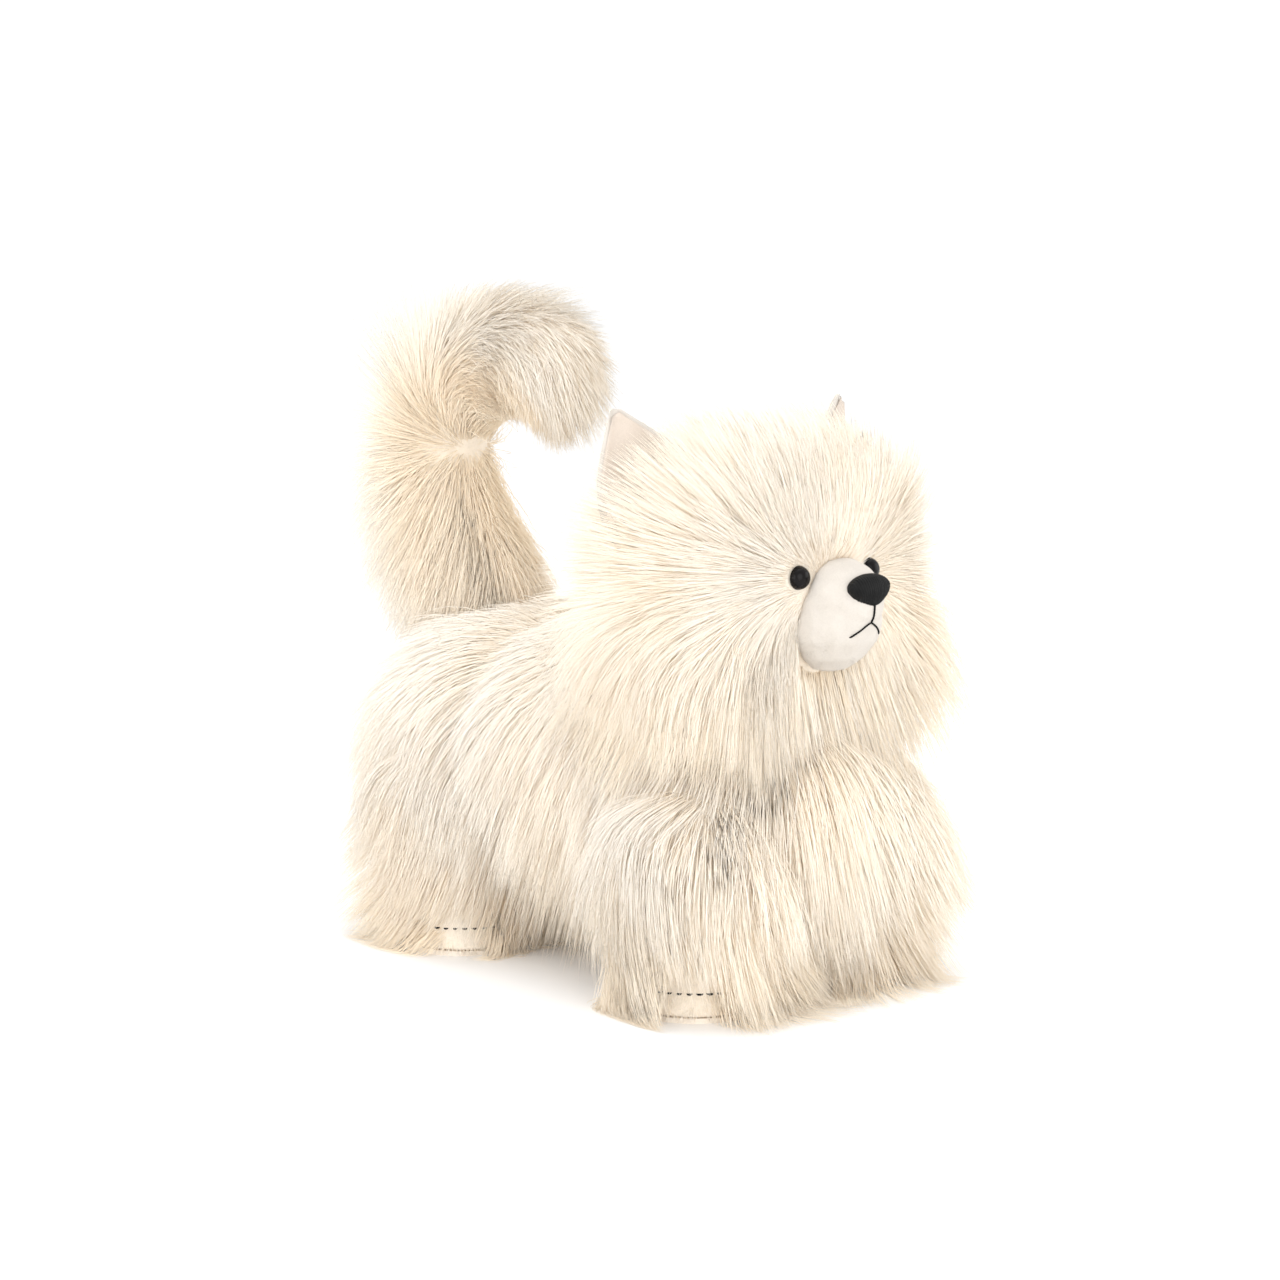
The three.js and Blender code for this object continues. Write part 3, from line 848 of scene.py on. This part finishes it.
def ear_axes(name):
    """The ear's hinge and its directions: along the hinge, up the ear and out of its front."""
    joint = EAR_JOINTS[f"ear_{name}"]
    along = unit(np.array(joint["axis"], float))
    facing = middle(f"ear_lining_{name}") - middle(f"ear_back_{name}")
    facing = unit(facing - along * np.dot(facing, along))
    rise = unit(np.cross(along, facing))
    return np.array(joint["pos_m"]) / MM, along, rise * (1 if rise[2] > 0 else -1), facing


def ear_sheet(axes, outline, inset, depth, centre_depth):
    """Grid points of one face of an ear piece, which meets the other face at its edge."""
    origin, along, rise, facing = axes
    bottom, top = outline[:, 1].min(), outline[:, 1].max()
    sheet = []
    for s in np.linspace(0, 1, EAR_ROWS):
        height = bottom + (top - inset * 1.3 - bottom) * (0.002 + 0.996 * s)
        left, right = span_at(outline, height)
        left, right = left + inset, right - inset
        if right < left:
            left = right = (left + right) / 2
        for r in np.linspace(-1, 1, EAR_COLUMNS):
            swell = math.sqrt(max(0.0, 1 - abs(r) ** 3)) * (1 - 0.85 * s ** 6)
            dish = EAR_CUP * (1 - r * r) * (1 - 0.6 * s) * ((top - bottom) / 60)
            out = centre_depth + (depth - centre_depth) * (0.15 + 0.85 * swell) - dish
            u = (left + right) / 2 + r * (right - left) / 2
            sheet.append(origin + along * u + rise * height + facing * out)
    return sheet


def ear_piece(label, axes, outline, inset, front, rear, material):
    """A closed lens between two depths, inset from the ear's outline."""
    rows, columns, size = EAR_ROWS, EAR_COLUMNS, EAR_ROWS * EAR_COLUMNS
    vertices = []
    for depth in (front, rear):
        vertices += ear_sheet(axes, outline, inset, depth, (front + rear) / 2)
    faces = []
    for i in range(rows - 1):
        for j in range(columns - 1):
            a = i * columns + j
            quad = [a, a + 1, a + columns + 1, a + columns]
            faces += [quad, [size + v for v in reversed(quad)]]
    rim = list(range(columns))
    rim += [i * columns + columns - 1 for i in range(1, rows)]
    rim += [(rows - 1) * columns + j for j in range(columns - 2, -1, -1)]
    rim += [i * columns for i in range(rows - 2, 0, -1)]
    for a, b in zip(rim, rim[1:] + rim[:1]):
        faces.append([b, a, size + a, size + b])
    obj = new_object(label, vertices, faces, material)
    tidy_normals(obj)
    return obj


def make_ear(name):
    """A cupped ear: short-pile back with a soft edge, and a lining set into its front."""
    axes = ear_axes(name)
    origin, along, rise, facing = axes
    back = ear_vertices(f"ear_back_{name}") - origin
    lining = ear_vertices(f"ear_lining_{name}") - origin
    outline = hull_2d(np.stack([back @ along, back @ rise], axis=1))
    rear, front = (back @ facing).min(), (lining @ facing).max()

    shell = ear_piece(f"ear_shell_{name}", axes, outline, 0.0, front - 0.6, rear, VELOUR)
    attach(shell, f"ear_{name}")
    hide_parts(f"ear_back_{name}")
    inner = ear_piece(f"ear_inner_{name}", axes, outline, EAR_HEM, front + 0.2,
                      (front + rear) / 2, EAR_LINING)
    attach(inner, f"ear_{name}")
    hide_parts(f"ear_lining_{name}")

    rng = np.random.default_rng(51 if name == "right" else 52)
    roots, normals = surface_points(shell, 5200, rng)
    bottom, top = outline[:, 1].min(), outline[:, 1].max()
    height = ((roots - origin) @ rise - bottom) / (top - bottom)
    shown = (normals @ facing < 0.25) & (height > 0.03)
    roots, normals, height = roots[shown], normals[shown], height[shown]
    groom = {
        "flow": tangent(rise, normals),
        "length": rng.uniform(3.0, 5.5, len(roots)) * (1.1 - 0.5 * height),
        "lift": 0.30,
        "end": rise + 0.25 * normals,
        "stray": 0.10,
    }
    line = grown(roots, normals, groom, SHORT, rng)
    radius = rng.uniform(0.12, 0.20, len(line))
    warmth = patches(roots, 13) * 0.5 + 0.1
    pile(f"fur_ear_{name}", line, normals, radius, warmth, f"ear_{name}")


for ear in ("right", "left"):
    make_ear(ear)


# ------------------------ torso and legs

# Where the pile is clipped on each foot, in degrees from straight ahead towards the outside.
TOE_CLIP = {"centre": {"front": 48, "rear": 40}, "half": 26, "fade": 12}
LEG_TOP = 62  # below it the pile is named after the legs
STITCHES = 3  # on each side of the middle one
STITCH_STEP = 8.0  # degrees from one to the next

TORSO_NODES = ["torso_side_right", "torso_side_left", "belly_gusset", "torso_stuffing",
               "pellet_bag"]
for leg in LEGS:
    TORSO_NODES += [f"{part}_{leg}" for part in ("leg_cover", "leg_stuffing", "insole")]
TORSO_SKIN = skin_of("torso_cover", TORSO_NODES, 4, 10, UNDER_PILE)


def square_feet(obj):
    """Brings each leg's cover down to the edge of its sole."""
    for vertex in obj.data.vertices:
        place = np.array(vertex.co) / MM
        for at in LEG_AT.values():
            off = (place - at) * [1, 1, 0]
            radius = np.linalg.norm(off)
            edge = smooth(radius, FOOT_RADIUS - 9, FOOT_RADIUS - 3)
            edge = edge * smooth(-place[2], -13, -5) * (radius < FOOT_RADIUS + 6)
            if edge > 0:
                place += off / radius * (FOOT_RADIUS + 0.4 - radius) * edge
                place[2] -= max(place[2] - SOLE_HIGH[2] - 0.1, 0) * edge * 0.5
        vertex.co = Vector(place * MM)
    obj.data.update()


square_feet(TORSO_SKIN)
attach(TORSO_SKIN, "torso")
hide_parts(*TORSO_NODES)


def toe_window(roots):
    """1 on the front outer side of each foot, where the pile is clipped short, fading to 0."""
    window = np.zeros(len(roots))
    for leg, at in LEG_AT.items():
        side = 1 if leg.endswith("left") else -1
        off = roots - at
        angle = np.degrees(np.arctan2(side * off[:, 0], -off[:, 1]))
        near = np.linalg.norm(off[:, :2], axis=1) < FOOT_RADIUS + 6
        centre = TOE_CLIP["centre"][leg.split("_")[0]]
        half, fade = TOE_CLIP["half"], TOE_CLIP["fade"]
        inside = 1 - smooth(np.abs(angle - centre), half - fade, half + fade)
        window = np.maximum(window, inside * near)
    return window


def torso_groom(roots, normals):
    """Pile that lies back along the top and hangs off the sides, chest and legs."""
    x, y, z = roots.T
    side = np.sign(x) * smooth(np.abs(x), 2, 40)
    middle_y = (TORSO_LOW[1] + TORSO_HIGH[1]) / 2
    rear = smooth(y, middle_y - 20, middle_y + 80)
    high = smooth(z, 95, 150)
    leg = smooth(-z, -95, -60)
    splay = np.clip((y - middle_y) / 90, -1, 1)
    inward = smooth(-normals[:, 0] * np.sign(x), 0.1, 0.7) * smooth(-z, -66, -38)
    sideways = side * (0.20 + 0.12 * leg) * (1 - inward) - 0.40 * np.sign(x) * inward
    way = np.stack([
        0.30 * side * high + 0.22 * side * leg * (1 - inward) - 0.3 * np.sign(x) * inward,
        0.35 * (0.35 + 0.65 * rear) + 0.9 * high + 0.45 * leg * splay,
        -1.0 + 0.45 * high,
    ], axis=1)
    flow = tangent(way, normals)
    under = smooth(-normals[:, 2], 0.3, 0.9) * (z > 30)
    ankle = smooth(-z, -46, -6)
    back = smooth(normals[:, 2], 0.55, 0.95)
    chest = smooth(-y, -TORSO_LOW[1] - 40, -TORSO_LOW[1] - 12) * smooth(-np.abs(x), -34, -12)
    length = 64 - 6 * leg - 22 * ankle * (1 - inward) - 22 * back + 6 * under + 12 * chest
    clip = toe_window(roots)
    room = np.maximum(z - SEAM_HEIGHT - 2, 2.5) * 1.15
    length = length * (1 - clip) + np.minimum(length, room) * clip
    hanging = np.stack([
        sideways,
        0.26 * rear + (0.55 + 0.25 * rear) * leg * splay + 0.5 * back,
        -1.0 + 0.4 * back,
    ], axis=1)
    return {
        "flow": flow,
        "length": length,
        "lift": 0.44 - 0.08 * back + 0.16 * under + 0.10 * ankle + 0.10 * rear + 0.10 * inward,
        "end": hanging + 0.22 * normals * (1 - under)[:, None],
        "stray": 0.06,
    }


def make_torso_pile(count=66000):
    """The long pile of the torso and legs."""
    rng = np.random.default_rng(21)
    roots, normals = surface_points(TORSO_SKIN, count, rng)
    hidden = (roots[:, 2] < 4) | ((normals[:, 2] < -0.8) & (roots[:, 2] < 20))
    roots, normals = roots[~hidden], normals[~hidden]
    groom = combed(torso_groom(roots, normals), roots, normals, 22)
    line = grown(roots, normals, groom, LONG, rng)
    line = clumped(line, 40, 0.30, rng)
    line = clumped(line, 8, 0.35, rng)
    radius = rng.uniform(0.14, 0.28, len(line))
    warmth = patches(roots, 23) * 0.65 + 0.2 * rng.random(len(line))
    # Warmer, darker pile low on the body is painted shade; paler pile where it faces up is
    # painted light from above.
    low = smooth(-roots[:, 2], -105, -40)
    warmth += 0.26 * low - 0.30 * smooth(normals[:, 2], 0.3, 0.9)
    right = roots[:, 0] < 0
    leg = roots[:, 2] < LEG_TOP
    rear = roots[:, 1] > 0
    sorted_pile({
        "fur_leg_front_right": leg & right & ~rear,
        "fur_leg_front_left": leg & ~right & ~rear,
        "fur_leg_rear_right": leg & right & rear,
        "fur_leg_rear_left": leg & ~right & rear,
        "fur_shoulder_right": ~leg & right & ~rear,
        "fur_shoulder_left": ~leg & ~right & ~rear,
        "fur_haunch_right": ~leg & right & rear,
        "fur_haunch_left": ~leg & ~right & rear,
    }, line, normals, radius, warmth, "torso")


make_torso_pile()


def make_paw_pile(count=60000):
    """The short dense pile of the toes."""
    rng = np.random.default_rng(24)
    roots, normals = surface_points(TORSO_SKIN, count, rng)
    chosen = (roots[:, 2] < 34) & (roots[:, 2] > 1.0) & (normals[:, 2] > -0.97)
    chosen &= toe_window(roots) > 0.05
    roots, normals = roots[chosen], normals[chosen]
    groom = {
        "flow": tangent(-UP, normals),
        "length": rng.uniform(2.8, 4.6, len(roots)) + 3.0 * smooth(-roots[:, 2], -11, -6),
        "lift": 0.45,
        "end": -UP + 0.4 * normals,
        "stray": 0.12,
    }
    line = grown(roots, normals, groom, SHORT, rng)
    radius = rng.uniform(0.15, 0.24, len(line))
    warmth = patches(roots, 23) * 0.5 + 0.1
    sorted_pile({
        f"fur_paw_{leg}": np.linalg.norm((roots - at)[:, :2], axis=1) < FOOT_RADIUS + 12
        for leg, at in LEG_AT.items()
    }, line, normals, radius, warmth, "torso")


make_paw_pile()


def make_toe_stitches():
    """A row of short stitches round each foot where the toes are clipped."""
    for leg, at in LEG_AT.items():
        side = 1 if leg.endswith("left") else -1
        centre = TOE_CLIP["centre"][leg.split("_")[0]]
        tubes = []
        for i in range(-STITCHES, STITCHES + 1):
            angle = math.radians(centre + i * STITCH_STEP)
            half = math.radians(STITCH_STEP * (0.26 + 0.07 * math.sin(5.3 * i)))
            path = []
            for turn in np.linspace(-1, 1, 7):
                a = angle + turn * half
                out = FOOT_RADIUS + 3.0 - 1.4 * turn ** 4  # its ends dip into the fabric
                height = SEAM_HEIGHT + 0.25 * math.sin(3.1 * i)
                path.append(at * [1, 1, 0] + np.array([
                    side * math.sin(a) * out, -math.cos(a) * out, height]))
            tubes.append((np.array(path), 0.5))
        obj = tubes_object(f"toe_stitches_{leg}", tubes, THREAD)
        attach(obj, "torso")
        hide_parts(f"toe_stitching_{leg}")


make_toe_stitches()


# ------------------------ tail

TAIL_SKIN = skin_of("tail_cover_skin", ["tail_cover", "tail_stuffing", "tail_core"], 3, 8,
                    UNDER_PILE)
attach(TAIL_SKIN, "tail")
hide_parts("tail_cover", "tail_stuffing", "tail_core")

TAIL_SPLIT = 225  # above it the pile is named after the curl
# The middle of the curl.
TAIL_CURL = np.array([0.0, TAIL_LOW[1] * 0.42 + TAIL_HIGH[1] * 0.58, TAIL_HIGH[2] - 72])


def tail_groom(roots, normals):
    """Pile in four parts: down the stem, out across the bend, over the top and off the tip."""
    spoke = unit((roots - TAIL_CURL) * [0, 1, 1])
    onward = np.cross([1, 0, 0], spoke)
    outer = smooth(dot(normals, spoke)[:, 0], -0.4, 0.8)[:, None]
    side = np.clip(roots[:, :1] / 8, -1, 1) * np.array([1.0, 0, 0])
    high = roots[:, 2] > TAIL_CURL[2] - 6
    top = smooth(spoke[:, 2], 0.15, 0.95)[:, None]
    ahead = (smooth(-spoke[:, 1], 0.0, 0.60) * high)[:, None]
    tip = ahead * (1 - top)
    down = (1 - smooth(spoke[:, 2], -0.85, 0.45))[:, None] * (1 - ahead)
    across = (1 - down) * (1 - top) * (1 - ahead)
    base = smooth(-roots[:, 2], -205, -165)
    flank = smooth(np.abs(normals[:, 0]), 0.35, 0.85)
    flow = tangent(
        down * (0.55 * outer * spoke + 0.30 * side - 0.8 * UP)
        + across * (0.90 * spoke + 0.20 * side - 0.10 * UP)
        + top * (0.40 * spoke + 0.30 * side + 0.60 * onward)
        + tip * (0.15 * side - 1.0 * UP),
        normals,
    )
    end = (
        down * ((0.25 + 0.55 * outer) * spoke + 0.20 * side - 0.70 * UP)
        + across * (0.90 * spoke + 0.10 * side - 0.25 * UP)
        + top * (0.30 * spoke + 0.12 * side + 0.70 * onward - 0.20 * UP)
        + tip * (0.05 * side - 1.0 * UP)
        + normals * 0.15
    )
    length = 52 + 8 * outer[:, 0] - 14 * base - 8 * top[:, 0] - 22 * ahead[:, 0]
    return {
        "flow": flow,
        "length": np.maximum(length, 16),
        "lift": 0.44 + 0.14 * outer[:, 0] * (1 - top[:, 0]) - 0.14 * flank - 0.14 * top[:, 0]
                - 0.10 * ahead[:, 0],
        "end": end,
        "stray": 0.13,
    }


def make_tail_pile(count=27000):
    """The long pile of the tail, warmer and darker inside its curl as painted shade."""
    rng = np.random.default_rng(31)
    roots, normals = surface_points(TAIL_SKIN, count, rng)
    groom = combed(tail_groom(roots, normals), roots, normals, 32)
    line = grown(roots, normals, groom, LONG, rng)
    line = clumped(line, 40, 0.32, rng)
    line = clumped(line, 8, 0.30, rng)
    radius = rng.uniform(0.13, 0.26, len(line))
    # Warmer, darker pile inside the curl is painted shade.
    inner = smooth(-dot(normals, unit((roots - TAIL_CURL) * [0, 1, 1]))[:, 0], -0.5, 0.7)
    warmth = patches(roots, 33) * 0.30 + 0.2 * rng.random(len(line)) + 0.6 * inner
    upper = roots[:, 2] > TAIL_SPLIT
    sorted_pile({"fur_tail_lower": ~upper, "fur_tail_curl": upper},
                line, normals, radius, warmth, "tail")


make_tail_pile()


# ------------------------ kept CAD nodes

def finish_node(node, material):
    """Gives a CAD node that is kept its material."""
    mesh = frame["nodes"][node].data
    mesh.materials.clear()
    mesh.materials.append(material)


for node in ("eye_washer_right", "eye_washer_left", "neck_plug", "tail_plug"):
    finish_node(node, FIRM_PLASTIC)
for leg in LEGS:
    finish_node(f"sole_{leg}", SOLE_CLOTH)


# ------------------------ camera, light and floor

def aimed(obj, place, target):
    """Puts a camera or a light in the scene, pointing at target."""
    obj.location = place
    obj.rotation_mode = "QUATERNION"
    obj.rotation_quaternion = (Vector(target) - Vector(place)).to_track_quat("-Z", "Y")
    bpy.context.scene.collection.objects.link(obj)


def make_camera():
    camera = bpy.data.objects.new("camera", bpy.data.cameras.new("camera"))
    camera.data.lens = 83.5
    azimuth, elevation, distance = math.radians(-43), math.radians(8.5), 1.41
    back = Vector((
        math.sin(azimuth) * math.cos(elevation),
        -math.cos(azimuth) * math.cos(elevation),
        math.sin(elevation),
    ))
    right = Vector((math.cos(azimuth), math.sin(azimuth), 0))
    target = Vector((0, 0, 0.149)) + right * 0.0047  # what the middle of the photo shows
    aimed(camera, target + back * distance, target)
    bpy.context.scene.camera = camera


def make_studio():
    material, _, _, shader = principled("floor")
    shader.inputs["Base Color"].default_value = (0.97, 0.97, 0.97, 1)
    shader.inputs["Roughness"].default_value = 0.9
    shader.inputs["Specular IOR Level"].default_value = 0.0
    size = 9000
    corners = [(-size, -size, 0), (size, -size, 0), (size, size, 0), (-size, size, 0)]
    floor = new_object("floor", corners, [(0, 1, 2, 3)], material)

    world = bpy.data.worlds.new("studio")
    world.use_nodes = True
    background = world.node_tree.nodes["Background"]
    background.inputs["Color"].default_value = (1, 1, 1, 1)
    background.inputs["Strength"].default_value = 1.11
    bpy.context.scene.world = world

    for name, place, size_m, power in (
        ("top_light", (0.1, 0.2, 1.4), 1.6, 6),
        ("key_light", (-0.6, -1.3, 0.55), 1.3, 8),
        ("fill_light", (-1.4, 0.10, 0.35), 1.3, 9),
        ("far_light", (1.2, -1.0, 0.5), 1.2, 5),
    ):
        light = bpy.data.lights.new(name, "AREA")
        light.shape = "DISK"
        light.size = size_m
        light.energy = power
        aimed(bpy.data.objects.new(name, light), place, (0, 0, 0.12))
    bpy.context.scene.view_settings.view_transform = "Standard"
    bpy.context.scene.view_settings.gamma = 1.1
    bpy.context.scene.cycles.diffuse_bounces = 10


make_camera()
make_studio()
